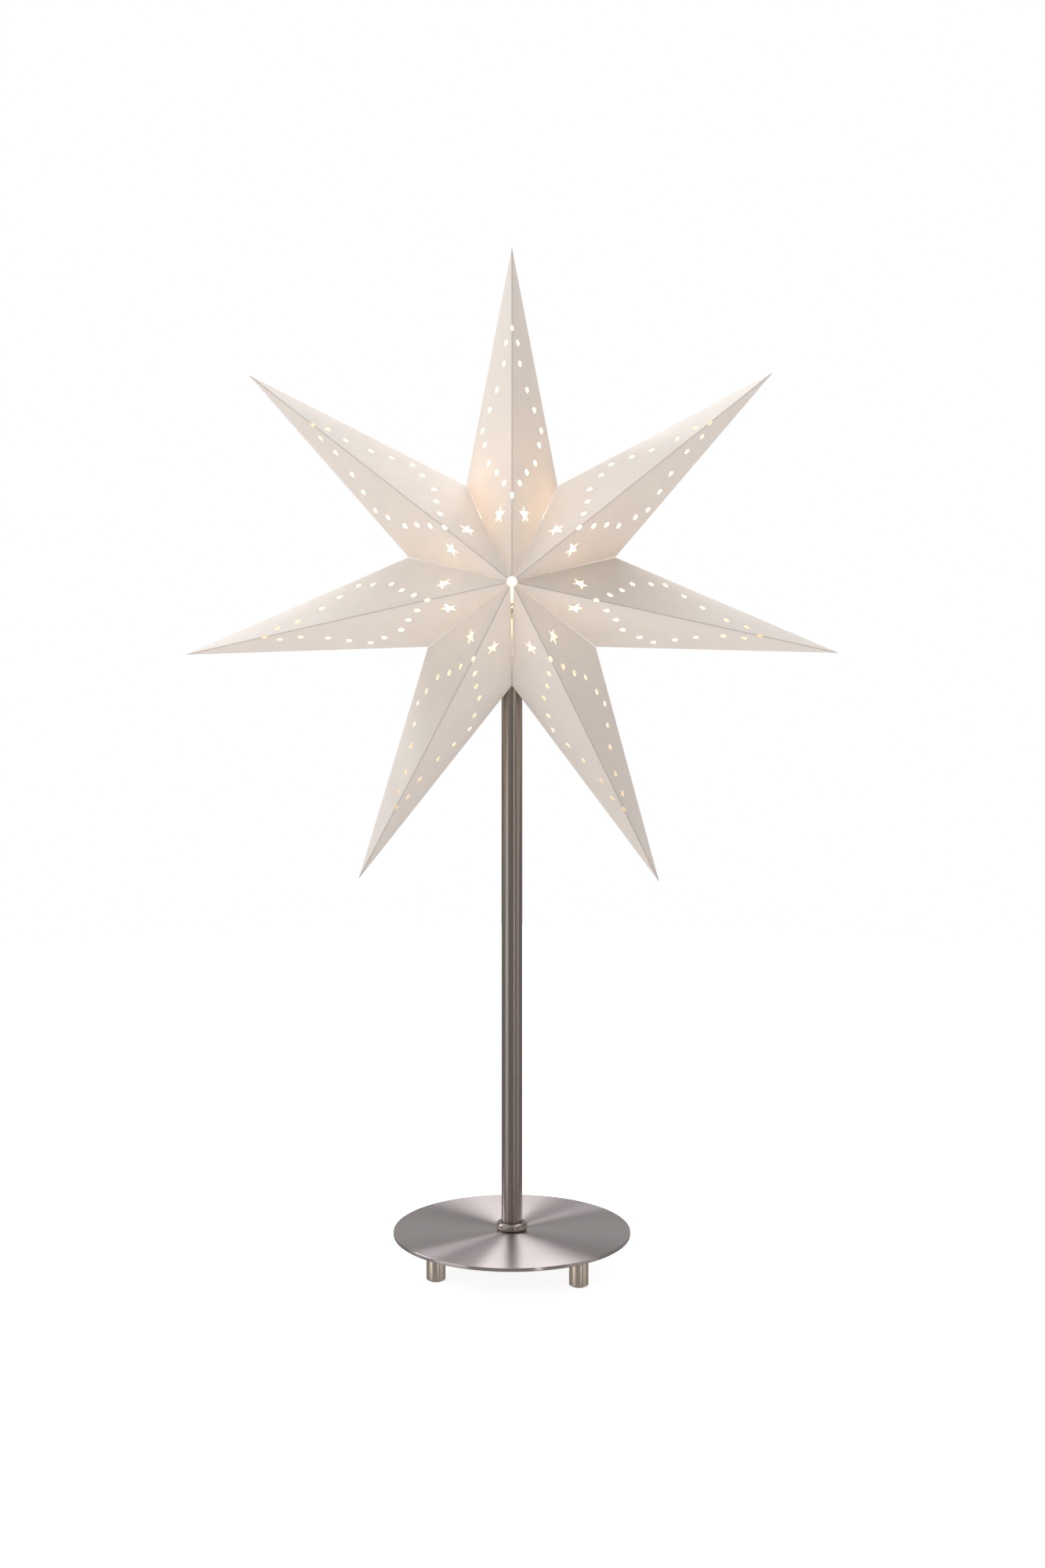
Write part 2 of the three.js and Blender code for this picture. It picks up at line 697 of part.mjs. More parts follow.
// ---------------------------------------------------------------- bulb
function addBulb(lamp) {
  const capInner = bulbNeckRadius + looseFit;
  const tipFoot = bulbCapFoot - insulatorHeight - tipHeight;
  addPiece(
    lamp,
    'bulb_tip',
    turned(
      [
        [0, tipFoot],
        [0.7 * tipRadius, tipFoot + tipHeight / 8],
        [tipRadius, tipFoot + tipHeight / 2],
        [tipRadius, tipFoot + tipHeight],
        [0, tipFoot + tipHeight],
      ],
      20,
    ),
    plainSteel,
  );
  addPiece(
    lamp,
    'bulb_insulator',
    turned(
      [
        [0, bulbCapFoot - insulatorHeight],
        [tipRadius + insulatorLip, bulbCapFoot - insulatorHeight],
        [capInner, bulbCapFoot],
        [0, bulbCapFoot],
      ],
      24,
    ),
    blackGlass,
  );
  // Rolled thread of the cap, as rounded rings.
  const threadFoot = bulbCapFoot + capThreadStart;
  const rings = [];
  for (let i = 0; i < capThreadTurns; i += 1) {
    const foot = threadFoot + i * capThreadPitch;
    rings.push([bulbCapRadius - capThreadDepth, foot], [bulbCapRadius, foot + capThreadPitch / 2]);
  }
  addPiece(
    lamp,
    'bulb_cap',
    turned(
      [
        [capInner, bulbCapFoot],
        [bulbCapRadius - capThreadDepth, bulbCapFoot],
        ...rings,
        [bulbCapRadius - bulbCapLip, threadFoot + capThreadTurns * capThreadPitch],
        [bulbCapRadius - bulbCapLip, bulbCapTop],
        [capInner, bulbCapTop],
        [capInner, bulbCapFoot],
      ],
      20,
    ),
    plainSteel,
  );
  // Pear-shaped envelope: a round crown on a neck that slims down into the cap.
  const glassFoot = bulbCapFoot + bulbGlassInset;
  const envelope = (wall) => {
    const crown = arcPoints([0, crownLevel], bulbRadius - wall, -Math.PI / 4, Math.PI / 2, 7);
    return [
      [bulbNeckRadius - wall, glassFoot],
      [bulbNeckRadius - wall, bulbCapTop + bulbNeckLength],
      [bulbNeckRadius + bulbNeckSpread - wall, bulbCapTop + bulbShoulderHeight],
      ...crown.slice(0, -1),
      [0, crownLevel + bulbRadius - wall],
    ];
  };
  addPiece(
    lamp,
    'bulb_glass',
    turned([...envelope(0), ...envelope(bulbGlassWall).reverse(), [bulbNeckRadius, glassFoot]], 24),
    clearGlass,
  );
  const mountTop = bulbCapTop + mountHeight;
  addPiece(
    lamp,
    'bulb_mount',
    turned(
      [
        [0, glassFoot],
        [bulbNeckRadius - bulbGlassWall - looseFit, glassFoot],
        [mountRadius, glassFoot + mountFlareHeight],
        [mountTopRadius, mountTop],
        [0, mountTop],
      ],
      16,
    ),
    clearGlass,
  );
  const filamentLevel = crownLevel - filamentDrop;
  for (const [number, side] of [[1, -1], [2, 1]]) {
    const lead = wire(
      [
        new THREE.Vector3(side * leadFootSpread, 0, mountTop + looseFit),
        new THREE.Vector3(side * leadKneeSpread, 0, mountTop + leadKneeHeight),
        new THREE.Vector3(side * filamentHalfSpan, 0, filamentLevel - leadRadius - filamentGap),
      ],
      leadRadius,
      3,
      6,
    );
    addPiece(lamp, `bulb_lead_${number}`, lead, plainSteel);
  }
  const archAngle = Math.acos(filamentHalfSpan / filamentArchRadius);
  const archCentre = [0, filamentLevel - filamentArchRadius * Math.sin(archAngle)];
  const arch = arcPoints(archCentre, filamentArchRadius, archAngle, Math.PI - archAngle, 8).map(
    ([x, z]) => new THREE.Vector3(x, 0, z),
  );
  addPiece(lamp, 'bulb_filament', wire(arch, filamentRadius, 3, 12), tungsten);
}

// ---------------------------------------------------------------- hoop that carries the star
function addHoop(lamp) {
  // The shoulders of the hoop bear on the two inner edges of the top point.
  const edgeAngle = Math.atan2(
    starValleyRadius * Math.sin(halfPitch),
    starTipRadius - starValleyRadius * Math.cos(halfPitch),
  );
  // Sine of half the angle at which the front and the back facet meet there.
  const grooveSine = paperThickness / (innerShift() * Math.sin(edgeAngle));
  const reach = (hoopHalfWidth + (wireRadius + 2 * looseFit) / grooveSine) / Math.sin(edgeAngle);
  const archLevel = starHeight + starTipRadius - innerShift() - reach;
  const arch = arcPoints([0, archLevel], hoopHalfWidth, 0, Math.PI, 10).map(
    ([x, z]) => new THREE.Vector3(x, -starForward, z),
  );
  // A leg runs out under the shade ring, up past its rim, and forward to the star's mid-plane.
  const rim = ringRadius + wireRadius + hoopRimClearance;
  const straight = ringFoot + ringHeight + hoopShoulderRise;
  const leg = (side) => [
    new THREE.Vector3(side * hoopRingRadius, 0, hoopRingLevel),
    new THREE.Vector3(side * (rim - wireRadius), 0, hoopRingLevel + 0.2),
    new THREE.Vector3(side * rim, -0.2, hoopRingLevel + 1.6),
    new THREE.Vector3(side * rim, -1, ringFoot + ringHeight),
    new THREE.Vector3(side * hoopHalfWidth, -starForward, straight),
    new THREE.Vector3(side * hoopHalfWidth, -starForward, (straight + archLevel) / 2),
  ];
  const points = [...leg(1), ...arch, ...leg(-1).reverse()];
  const ring = new THREE.TorusGeometry(hoopRingRadius, wireRadius, 6, 28).translate(0, 0, hoopRingLevel);
  const hoop = toSolid(ring).add(toSolid(wire(points, wireRadius, 3, 56)));
  addPiece(lamp, 'star_hoop', toGeometry(hoop), plainSteel);
}

const lamp = new THREE.Group();
addBase(lamp);
addStem(lamp);
addHolder(lamp);
addContacts(lamp);
addBulb(lamp);
addHoop(lamp);
addStar(lamp);

export default lamp;
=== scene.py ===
# A lit paper star table lamp: seven folded points on a brushed steel stand.
import math
import bmesh
import bpy
from mathutils import Matrix, Vector


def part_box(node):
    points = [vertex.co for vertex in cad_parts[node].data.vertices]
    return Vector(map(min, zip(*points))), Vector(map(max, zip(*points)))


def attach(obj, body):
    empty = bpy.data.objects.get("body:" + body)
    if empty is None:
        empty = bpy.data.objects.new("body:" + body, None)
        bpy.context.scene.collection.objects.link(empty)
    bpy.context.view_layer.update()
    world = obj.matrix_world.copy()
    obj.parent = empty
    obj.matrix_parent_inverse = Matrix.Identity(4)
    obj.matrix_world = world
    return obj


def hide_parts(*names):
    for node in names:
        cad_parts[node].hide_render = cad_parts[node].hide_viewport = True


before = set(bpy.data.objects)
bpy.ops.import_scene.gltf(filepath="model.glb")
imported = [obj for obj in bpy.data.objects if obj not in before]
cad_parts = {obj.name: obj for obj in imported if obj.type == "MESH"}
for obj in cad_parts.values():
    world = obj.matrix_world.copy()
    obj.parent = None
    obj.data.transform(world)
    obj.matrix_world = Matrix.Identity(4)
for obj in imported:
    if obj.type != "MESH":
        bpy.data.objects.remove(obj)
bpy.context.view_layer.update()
mm = 0.001


def linear(hexColour):
    parts = [int(hexColour[i:i + 2], 16) / 255 for i in (0, 2, 4)]
    return tuple(c / 12.92 if c <= 0.04045 else ((c + 0.055) / 1.055) ** 2.4 for c in parts) + (1,)


def addNode(material, kind, settings=None, links=None):
    # settings are properties or socket values, links are {socket: source socket}
    tree = material.node_tree
    node = tree.nodes.new(kind)
    for key, value in (settings or {}).items():
        if isinstance(key, int) or not hasattr(node, key):
            node.inputs[key].default_value = value
        else:
            setattr(node, key, value)
    for key, source in (links or {}).items():
        tree.links.new(source, node.inputs[key])
    return node


def startMaterial(name):
    material = bpy.data.materials.new(name)
    material.use_nodes = True
    material.node_tree.nodes.clear()
    return material


def finishMaterial(material, shader):
    addNode(material, "ShaderNodeOutputMaterial", {}, {"Surface": shader.outputs[0]})
    return material


def deselect():
    if bpy.context.object and bpy.context.object.mode != "OBJECT":
        bpy.ops.object.mode_set(mode="OBJECT")
    bpy.ops.object.select_all(action="DESELECT")


def activate(piece):
    deselect()
    piece.select_set(True)
    bpy.context.view_layer.objects.active = piece


def nameIt(name):
    piece = bpy.context.object
    piece.name = name
    piece.data.name = name
    return piece


def applyPlace(piece):
    activate(piece)
    bpy.ops.object.transform_apply(location=True, rotation=True, scale=True)


def applyModifier(piece, kind, **settings):
    activate(piece)
    modifier = piece.modifiers.new(kind.title(), kind)
    for key, value in settings.items():
        setattr(modifier, key, value)
    bpy.ops.object.modifier_apply(modifier=modifier.name)


def selectWhere(piece, kind, test):
    # goes into edit mode with only the verts, edges or faces that pass the test selected
    activate(piece)
    bpy.ops.object.mode_set(mode="EDIT")
    bpy.ops.mesh.select_mode(type={"verts": "VERT", "edges": "EDGE", "faces": "FACE"}[kind])
    bpy.ops.mesh.select_all(action="DESELECT")
    mesh = bmesh.from_edit_mesh(piece.data)
    for item in getattr(mesh, kind):
        if test(item):
            item.select_set(True)
    bmesh.update_edit_mesh(piece.data)


def editAll(piece):
    activate(piece)
    bpy.ops.object.mode_set(mode="EDIT")
    bpy.ops.mesh.select_mode(type="VERT")
    bpy.ops.mesh.select_all(action="SELECT")


def turnedPiece(name, profile, steps=96, centre=(0, 0), rounding=0.0, segments=3, smoothAngle=30):
    # a ring of vertices is drawn up through the profile of (radius, height), in metres
    x, y = centre
    radius, height = profile[0]
    deselect()
    bpy.ops.mesh.primitive_circle_add(vertices=steps, radius=max(radius, 1e-6),
                                      location=(x, y, height))
    piece = nameIt(name)
    applyPlace(piece)
    editAll(piece)
    for newRadius, newHeight in profile[1:]:
        bpy.ops.mesh.extrude_region_move(TRANSFORM_OT_translate={"value": (0, 0,
                                                                           newHeight - height)})
        ratio = max(newRadius, 1e-6) / max(radius, 1e-6)
        bpy.ops.transform.resize(value=(ratio, ratio, 1), center_override=(x, y, newHeight))
        radius, height = newRadius, newHeight
    bpy.ops.mesh.select_all(action="SELECT")
    bpy.ops.mesh.remove_doubles(threshold=4e-6)
    bpy.ops.mesh.normals_make_consistent(inside=False)
    bpy.ops.object.mode_set(mode="OBJECT")
    if rounding:
        applyModifier(piece, "BEVEL", width=rounding, segments=segments, limit_method="ANGLE",
                      angle_limit=math.radians(40), use_clamp_overlap=True)
    activate(piece)
    bpy.ops.object.shade_smooth_by_angle(angle=math.radians(smoothAngle))
    return piece


def putOn(piece, material, body, slotName, *nodes):
    if not piece.data.materials:
        piece.data.materials.append(material)
    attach(piece, body)
    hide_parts(*nodes)


# The camera stands level with the middle of the star, a good metre in front of it.
view = {"height": 361.4 * mm, "distance": 1092.5 * mm, "lens": 47.7, "sensor": 36,
        "shiftX": 0.00675, "shiftY": -0.129}
deselect()
bpy.ops.object.camera_add(location=(0, -view["distance"], view["height"]),
                          rotation=(math.pi / 2, 0, 0))
camera = bpy.context.object
camera.data.lens = view["lens"]
camera.data.sensor_width = view["sensor"]
camera.data.shift_x = view["shiftX"]
camera.data.shift_y = view["shiftY"]
camera.data.clip_start = 0.01
bpy.context.scene.camera = camera

# Soft boxes and strips round the lamp. Their bands in the tube and wedges on the plate show the
# brushed steel.
softLights = {
    # name: place, aimed at, width, height, power in W, colour
    "wideTop": ((0, 0.2, 2.1), (0, 0.2, 0), 2.6, 2.4, 15, "FFFFFF"),
    "overhead": ((0.2, 0.85, 1.9), (0, 0, 0.2), 1.1, 1.1, 15, "FFFFFF"),
    "key": ((-0.75, -1.75, 1.35), (0, 0, 0.36), 0.9, 0.9, 1.2, "FFFFFF"),
    "leftBox": ((-1.2, -0.72, 0.25), (0, 0, 0.25), 0.85, 1.8, 4.0, "FFFBF6"),
    "rightLine": ((0.63, -1.36, 0.25), (0, 0, 0.25), 0.08, 1.8, 1.6, "FFFBF6"),
    "rightFill": ((1.3, -0.48, 0.25), (0, 0, 0.25), 0.9, 1.8, 1.8, "FFF4EC"),
    "backWall": ((0, 1.9, 0.7), (0, 0, 0.1), 4.0, 1.4, 2.6, "FFFFFF"),
    "behindLeft": ((-1.07, 0.43, 0.94), (0, 0, 0.02), 0.09, 0.6, 5, "FFFFFF"),
}
for name, (place, aim, width, height, power, colour) in softLights.items():
    bpy.ops.object.light_add(type="AREA", location=place)
    light = bpy.context.object
    light.name = name + "Light"
    light.rotation_euler = (Vector(aim) - Vector(place)).to_track_quat("-Z", "Y").to_euler()
    light.data.shape = "RECTANGLE"
    light.data.size = width
    light.data.size_y = height
    light.data.energy = power
    light.data.color = linear(colour)[:3]
    light.visible_camera = False

# A studio that looks plain white; more light comes up from its floor than from its dark walls.
studio = {"light": "FFFAF7", "fromBelow": 0.9, "fromAbove": 0.29, "seenInMetal": 0.3,
          "lowEdge": -0.5, "highEdge": 0.1}  # the edges are heights of a direction, from -1 to 1
world = bpy.data.worlds.new("studio")
bpy.context.scene.world = world
world.use_nodes = True
world.node_tree.nodes.clear()
rays = addNode(world, "ShaderNodeLightPath")
way = addNode(world, "ShaderNodeTexCoord")
wayParts = addNode(world, "ShaderNodeSeparateXYZ", {}, {0: way.outputs["Generated"]})
onPaper = addNode(world, "ShaderNodeMapRange",
                  {"From Min": studio["lowEdge"], "From Max": studio["highEdge"],
                   "To Min": studio["fromBelow"], "To Max": studio["fromAbove"]},
                  {"Value": wayParts.outputs["Z"]})
strength = addNode(world, "ShaderNodeMix", {"A": studio["seenInMetal"]},
                   {"Factor": rays.outputs["Is Diffuse Ray"], "B": onPaper.outputs[0]})
ambient = addNode(world, "ShaderNodeBackground", {"Color": linear(studio["light"])},
                  {"Strength": strength.outputs[0]})
seen = addNode(world, "ShaderNodeBackground", {"Color": linear("FFFFFF"), "Strength": 1.0})
choose = addNode(world, "ShaderNodeMixShader", {},
                 {0: rays.outputs["Is Camera Ray"], 1: ambient.outputs[0], 2: seen.outputs[0]})
addNode(world, "ShaderNodeOutputWorld", {}, {"Surface": choose.outputs[0]})
bpy.context.scene.view_settings.view_transform = "Standard"

# Matt white board that gives off a little light itself, so that it stays even and its shadows are
# faint.
ground = {"radius": 1.1, "colour": "FBFBFB", "roughness": 0.9, "glow": 0.8}
deselect()
bpy.ops.mesh.primitive_circle_add(vertices=96, radius=ground["radius"], fill_type="NGON",
                                  location=(0, 0, 0))
floor = nameIt("floor")
floorPaint = startMaterial("matt white studio floor")
floorShader = addNode(floorPaint, "ShaderNodeBsdfPrincipled",
                      {"Base Color": linear(ground["colour"]), "Roughness": ground["roughness"],
                       "Emission Color": linear("FFFFFF"), "Emission Strength": ground["glow"]})
floor.data.materials.append(finishMaterial(floorPaint, floorShader))
floor.visible_glossy = False  # the steel shows the soft boxes down to its foot
floor.visible_diffuse = False
print("camera and light are up")

# White card of 250 g/m2, die-cut and scored: matt, faintly fibrous, with a grey line along each
# scored ridge, and lets a little lamp light through.
paperLook = {"front": "F4F0EC", "through": "FFEFD6", "crease": "D0C8C2", "share": 0.07,
             "roughness": 0.75, "gloss": 0.35,
             "fibre": 1.2 * mm, "cloud": 14 * mm, "bump": 0.12, "bumpDepth": 0.03 * mm,
             "creaseInner": 0.08 * mm, "creaseOuter": 0.45 * mm,
             # the last two set the strength and colour of a painted glow on the card's inner side,
             # in place of bounced lamp light
             "inside": 0.2, "paintedInsideGlow": "FFECCF"}
paperCard = startMaterial("matt white card")
sheetPlace = addNode(paperCard, "ShaderNodeUVMap", {"uv_map": "sheet"})
solidPlace = addNode(paperCard, "ShaderNodeTexCoord")
fibres = addNode(paperCard, "ShaderNodeTexNoise",
                 {"Scale": 1 / paperLook["fibre"], "Detail": 3.0, "Roughness": 0.6},
                 {"Vector": solidPlace.outputs["Object"]})
cloudy = addNode(paperCard, "ShaderNodeTexNoise", {"Scale": 1 / paperLook["cloud"], "Detail": 2.0},
                 {"Vector": solidPlace.outputs["Object"]})
apart = addNode(paperCard, "ShaderNodeSeparateXYZ", {}, {0: sheetPlace.outputs[0]})
offRidge = addNode(paperCard, "ShaderNodeMath", {"operation": "ABSOLUTE"}, {0: apart.outputs["Y"]})
creaseLine = addNode(paperCard, "ShaderNodeMapRange",
                     {"From Min": paperLook["creaseInner"], "From Max": paperLook["creaseOuter"],
                      "To Min": 1.0, "To Max": 0.0},
                     {"Value": offRidge.outputs[0]})
tone = addNode(paperCard, "ShaderNodeMapRange",
               {"From Min": 0.3, "From Max": 0.7, "To Min": 0.97, "To Max": 1.0},
               {"Value": cloudy.outputs[0]})
toned = addNode(paperCard, "ShaderNodeMix",
                {"data_type": "RGBA", "blend_type": "MULTIPLY", 0: 1.0,
                 6: linear(paperLook["front"])},
                {7: tone.outputs[0]})
creased = addNode(paperCard, "ShaderNodeMix",
                  {"data_type": "RGBA", 7: linear(paperLook["crease"])},
                  {0: creaseLine.outputs[0], 6: toned.outputs[2]})
paperBump = addNode(paperCard, "ShaderNodeBump",
                    {"Strength": paperLook["bump"], "Distance": paperLook["bumpDepth"]},
                    {"Height": fibres.outputs[0]})
paperFront = addNode(paperCard, "ShaderNodeBsdfPrincipled",
                     {"Roughness": paperLook["roughness"],
                      "Specular IOR Level": paperLook["gloss"]},
                     {"Base Color": creased.outputs[2], "Normal": paperBump.outputs[0]})
paperThrough = addNode(paperCard, "ShaderNodeBsdfTranslucent",
                       {"Color": linear(paperLook["through"])})
paperMix = addNode(paperCard, "ShaderNodeMixShader", {0: paperLook["share"]},
                   {1: paperFront.outputs[0], 2: paperThrough.outputs[0]})
finishMaterial(paperCard, paperMix)

# The same card seen from inside, with a painted glow on its inner side that stands in for the lamp
# light that has bounced about the star before it reaches the far holes.
paintedGlowCard = paperCard.copy()
paintedGlowCard.name = "inside of the card with painted lamp glow"
inside = paintedGlowCard.node_tree.nodes["Principled BSDF"]
# painted glow: emission on the inner side of the card in place of lamp light bounced about the
# star
inside.inputs["Emission Color"].default_value = linear(paperLook["paintedInsideGlow"])
inside.inputs["Emission Strength"].default_value = paperLook["inside"]

# One folded point is made lying along +X with its front up +Z, and then set in its place in the
# star.
star = {
    "tip": 175 * mm, "valley": 55.5 * mm, "peak": 55 * mm, "count": 7, "seam": 2.0,
    "paper": 0.3 * mm, "rounding": 0.18 * mm, "gap": 0.15 * mm, "flap": 6 * mm,
    "slitWidth": 1.5 * mm, "slitLength": 37 * mm, "slitDepth": 60 * mm,
    "centreHole": 2.5 * mm, "roundHole": 1.6 * mm, "punchLength": 8 * mm,
    "starHole": (34.0, 6.4), "starHoleRadius": 4.9 * mm, "starHoleInner": 0.38,
    "ridgeHoles": (43.5, 131.0),
    # along the point and sideways from its ridge, in mm
    "holes": ((50.0, 4.1), (55.9, 7.8), (60.9, 12.1), (70.6, 14.1), (78.4, 15.2),
              (88.9, 11.6), (99.1, 7.9), (112.6, 4.25), (123.6, 3.1)),
    "lean": (-0.6, 0.0, -0.2, 0.0, 1.0, 0.45,
             -1.0),  # degrees that each folded point has settled sideways
}
halfPitch = math.radians((360 - star["seam"]) / star["count"] / 2)
starCentre = Vector((0, (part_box("star_point_4")[0].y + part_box("star_point_4")[1].y) / 2,
                     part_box("star_point_4")[1].z - star["tip"]))
valleyX = star["valley"] * math.cos(halfPitch)
valleyY = star["valley"] * math.sin(halfPitch)
sideAtCentre = valleyY * star["tip"] / (star["tip"] - valleyX)
facetNormal = Vector((1 / star["tip"], 1 / sideAtCentre, 1 / star["peak"])).normalized()


def facetHeight(x, y):
    return star["peak"] * (1 - x / star["tip"] - abs(y) / sideAtCentre)


def punch(x, y, radius, sides, inner=1.0):
    # a cutter standing square to the front facet; every second corner is drawn in for a star
    deselect()
    bpy.ops.mesh.primitive_cylinder_add(vertices=sides, radius=radius, depth=star["punchLength"])
    cutter = nameIt("punch")
    if inner < 1:
        selectWhere(cutter, "verts", lambda v: round((math.atan2(v.co.y, v.co.x) - math.pi / 2)
                                                      / (2 * math.pi / sides)) % 2 == 1)
        bpy.ops.transform.resize(value=(inner, inner, 1), center_override=(0, 0, 0))
        bpy.ops.object.mode_set(mode="OBJECT")
    along = (Vector((1, 0, 0)) - facetNormal * facetNormal.x).normalized()
    turn = Matrix((along.cross(facetNormal), along, facetNormal)).transposed().to_4x4()
    cutter.data.transform(Matrix.Translation((x, y, facetHeight(x, y))) @ turn)
    return cutter


def joinPieces(pieces, name):
    deselect()
    for piece in pieces:
        piece.select_set(True)
    bpy.context.view_layer.objects.active = pieces[0]
    if len(pieces) > 1:
        bpy.ops.object.join()
    return nameIt(name)


def mirrored(piece, scale):
    activate(piece)
    bpy.ops.object.duplicate()
    copy = bpy.context.object
    editAll(copy)
    bpy.ops.transform.resize(value=scale, center_override=(0, 0, 0))
    bpy.ops.mesh.normals_make_consistent(inside=False)
    bpy.ops.object.mode_set(mode="OBJECT")
    return copy


def makePunches():
    through = 3 * star["peak"]
    quarter = [punch(x * mm, y * mm, star["roundHole"], 20) for x, y in star["holes"]]
    x, y = star["starHole"]
    quarter.append(punch(x * mm, y * mm, star["starHoleRadius"], 10, star["starHoleInner"]))
    first = joinPieces(quarter, "punches")
    others = [mirrored(first, s) for s in ((1, -1, 1), (1, 1, -1), (1, -1, -1))]
    middle = []
    for x in star["ridgeHoles"]:
        bpy.ops.mesh.primitive_cylinder_add(vertices=20, radius=star["roundHole"], depth=through,
                                            location=(x * mm, 0, 0))
        hole = nameIt("ridgePunch")
        hole.scale = (1, facetNormal.z, 1)
        applyPlace(hole)
        middle.append(hole)
    bpy.ops.mesh.primitive_cylinder_add(vertices=32, radius=star["centreHole"], depth=through)
    middle.append(nameIt("centrePunch"))
    return joinPieces([first, *others, *middle], "punches")


def foldedPoint(name, seamSide):
    # seamSide is 1 or -1 where the point ends at the open seam, else 0
    deselect()
    bpy.ops.mesh.primitive_cone_add(vertices=4, radius1=1, radius2=0, depth=star["tip"],
                                    location=(star["tip"] / 2, 0, 0), rotation=(0, math.pi / 2, 0))
    point = nameIt(name)
    applyPlace(point)
    editAll(point)
    bpy.ops.transform.resize(value=(1, sideAtCentre, star["peak"]), center_override=(0, 0, 0))
    selectWhere(point, "faces", lambda f: f.normal.x < -0.9)
    bpy.ops.mesh.delete(type="ONLY_FACE")
    walls = []
    for side in (1, -1):
        # the walls of neighbours meet at the axis; at the open seam the valleys nearly meet too
        angle = halfPitch - star["gap"] / star["valley"]
        if side == seamSide:
            angle += math.radians(star["seam"] / 2)
        normal = Vector((-math.sin(angle), side * math.cos(angle), 0))
        bpy.ops.mesh.select_all(action="SELECT")
        bpy.ops.mesh.bisect(plane_co=(0, 0, 0), plane_no=normal, clear_outer=True, threshold=1e-7)
        walls.append(normal)
    # the side walls: filled, inset by the width of a flap, and opened
    for normal in walls:
        selectWhere(point, "edges",
                    lambda e: e.is_boundary and all(abs(v.co.dot(normal)) < 0.01 * mm
                                                                     for v in e.verts))
        bpy.ops.mesh.edge_face_add()
        bpy.ops.mesh.inset(thickness=star["flap"])
        bpy.ops.mesh.delete(type="FACE")
    selectWhere(point, "faces", lambda f: abs(f.calc_center_median().z) < 3 * mm
                and f.calc_center_median().x < 8 * mm)
    bpy.ops.mesh.delete(type="FACE")
    bpy.ops.mesh.select_all(action="SELECT")
    bpy.ops.mesh.remove_doubles(threshold=1e-6)
    bpy.ops.mesh.normals_make_consistent(inside=False)
    bpy.ops.object.mode_set(mode="OBJECT")
    return point


# the room that the paper leaves for the stem, the lampholder's casing and the bulb, in mm
room = {"tube": 6.4, "casingNeck": 8.3, "shoulder": 12.6, "casing": 14.9, "socket": 13.0,
        "bulb": 14.8,
        "foot": 150.0, "gap": 0.8, "belowCasing": 1.8, "neckDrop": 14.0, "shoulderDrop": 1.5,
        "shoulderRise": 0.2, "casingRise": 2.6, "crownDrop": 14.0, "crownSteps": 6}


def clearanceCutter():
    low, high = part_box("holder_cap")
    bulbLow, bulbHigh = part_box("bulb_glass")
    neckTop = high.z - room["neckDrop"] * mm
    crown = bulbHigh.z - room["crownDrop"] * mm
    profile = [(0, room["foot"] * mm), (room["tube"] * mm, room["foot"] * mm),
               (room["tube"] * mm, low.z - room["belowCasing"] * mm),
               (room["casingNeck"] * mm, low.z - room["gap"] * mm),
               (room["casingNeck"] * mm, neckTop - room["shoulderDrop"] * mm),
               (room["shoulder"] * mm, neckTop + room["shoulderRise"] * mm),
               (room["casing"] * mm, neckTop + room["casingRise"] * mm),
               (room["casing"] * mm, high.z), (room["socket"] * mm, high.z),
               (room["socket"] * mm, bulbLow.z)]
    for i in range(room["crownSteps"]):
        angle = math.pi / 2 * i / room["crownSteps"]
        profile.append((room["bulb"] * math.cos(angle) * mm,
                        crown + room["bulb"] * math.sin(angle) * mm))
    profile.append((0, crown + room["bulb"] * mm))
    return turnedPiece("paperRoom", profile, steps=48)


def starPlace(i):
    angle = math.radians(-90 + star["seam"] / 2) + halfPitch * (2 * i + 1)
    along = Vector((math.cos(angle), 0, math.sin(angle)))
    front = Vector((0, -1, 0))
    side = front.cross(along)
    place = Matrix((along, side, front)).transposed().to_4x4()
    place.translation = starCentre
    return place


def slitCutter():
    # the front of the bottom seam gapes in a long thin wedge below the centre
    deselect()
    bpy.ops.mesh.primitive_cube_add(size=1, location=(0, starCentre.y - star["slitDepth"] / 2,
                                                      starCentre.z - star["slitLength"] / 2))
    cutter = nameIt("slitWedge")
    cutter.scale = (star["slitWidth"], star["slitDepth"], star["slitLength"])
    applyPlace(cutter)
    selectWhere(cutter, "verts", lambda v: v.co.z < starCentre.z - star["slitLength"] / 2)
    bpy.ops.transform.resize(value=(0.02, 1, 1), center_override=(0, 0, 0))
    bpy.ops.object.mode_set(mode="OBJECT")
    return cutter


